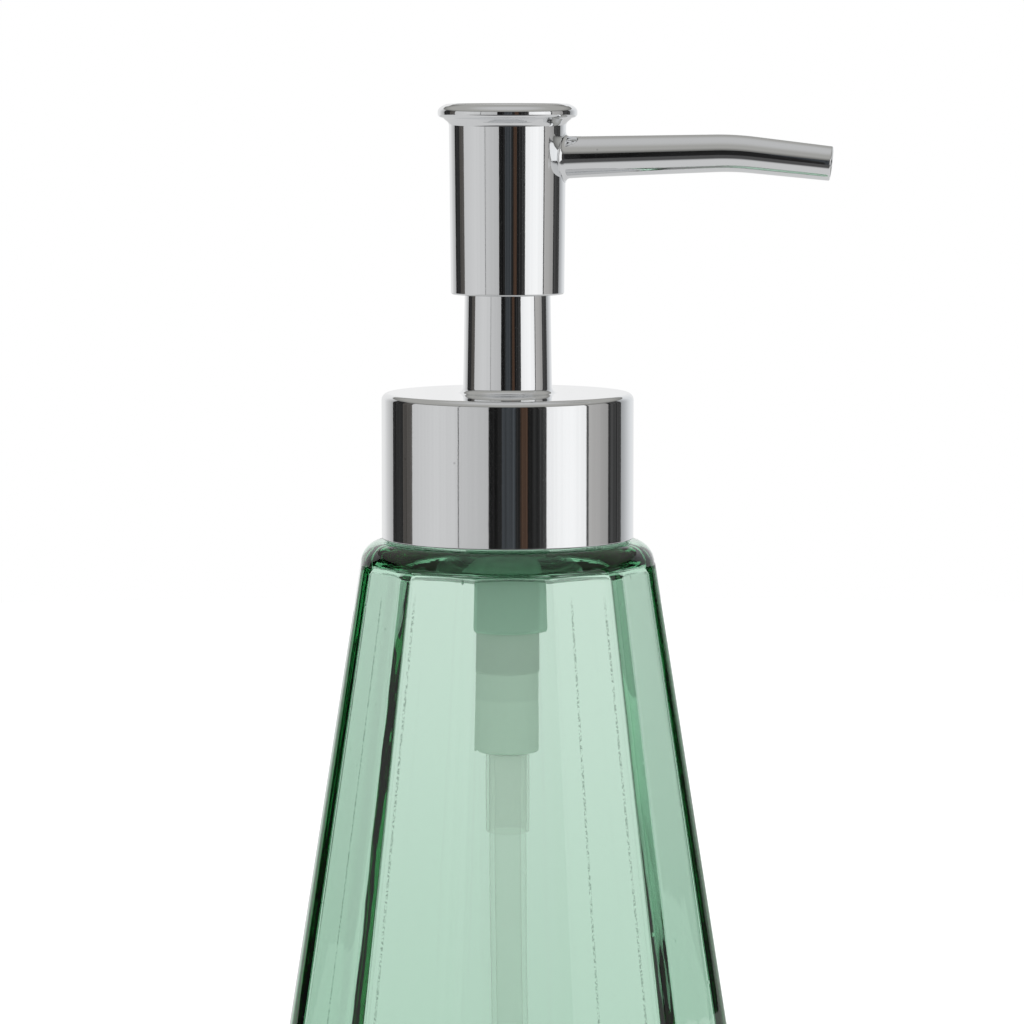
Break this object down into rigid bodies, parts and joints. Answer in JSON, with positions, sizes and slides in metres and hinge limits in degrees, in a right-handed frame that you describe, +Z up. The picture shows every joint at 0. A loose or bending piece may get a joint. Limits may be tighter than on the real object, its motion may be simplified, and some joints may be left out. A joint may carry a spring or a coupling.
{
  "type": "soap pump dispenser",
  "caption": "Tapered twelve-sided green glass bottle with a screw-on chrome lotion pump, long press head and slim bent spout.",
  "frame": {"origin": "centre of the bottle's flat underside, on the pump's axis", "axes": "+Z up along the pump's axis; the bottle's flats face X and Y; at rest the spout points along +X, turned 8.5 degrees towards -Y"},
  "size_m": [0.0801, 0.0754, 0.1815],
  "materials": {
    "green_glass": "clear pale green, smooth, thick walled",
    "chrome": "mirror plating on plastic shells",
    "white_plastic": "moulded polypropylene",
    "clear_plastic": "natural translucent polypropylene",
    "liner_plastic": "extruded polyethylene",
    "soft_plastic": "soft polyethylene",
    "steel": "stainless wire and ball"
  },
  "bodies": {
    "glass": {"bottle": "green_glass"},
    "pump": {"pump_housing": "clear_plastic", "housing_cap": "white_plastic", "stem_seal": "soft_plastic", "neck_gasket": "soft_plastic", "ball_cage": "white_plastic", "return_spring": "steel", "dip_tube": "clear_plastic"},
    "closure": {"collar_shell": "chrome", "closure_insert": "white_plastic"},
    "plunger": {"piston_core": "white_plastic"},
    "head": {"stem": "white_plastic", "head_core": "white_plastic", "head_shell": "chrome", "spout": "chrome", "spout_liner": "liner_plastic"},
    "sliding_piston": {"piston": "soft_plastic"},
    "check_ball": {"inlet_ball": "steel"}
  },
  "joints": [
    {"name": "pump_rise", "type": "slide", "parent": "glass", "child": "pump", "axis": [0, 0, 1], "range_m": [0, 0.00529]},
    {"name": "collar_turn", "type": "hinge", "parent": "pump", "child": "closure", "pos_m": [0, 0, 0.134], "axis": [0, 0, 1], "range_deg": [0, 450]},
    {"name": "head_press", "type": "slide", "parent": "pump", "child": "plunger", "axis": [0, 0, 1], "range_m": [-0.012, 0], "stiffness_N_per_m": 450, "springref_m": 0.008, "deforming": ["return_spring"]},
    {"name": "head_turn", "type": "hinge", "parent": "plunger", "child": "head", "pos_m": [0, 0, 0.17], "axis": [0, 0, 1], "continuous": true},
    {"name": "piston_lag", "type": "slide", "parent": "plunger", "child": "sliding_piston", "axis": [0, 0, 1], "range_m": [0, 0.0008]},
    {"name": "ball_lift", "type": "slide", "parent": "pump", "child": "check_ball", "axis": [0, 0, 1], "range_m": [0, 0.0012]}
  ],
  "couplings": [
    {"joint": "collar_turn", "follows": "pump_rise", "rad_per_m": 1484.3}
  ]
}
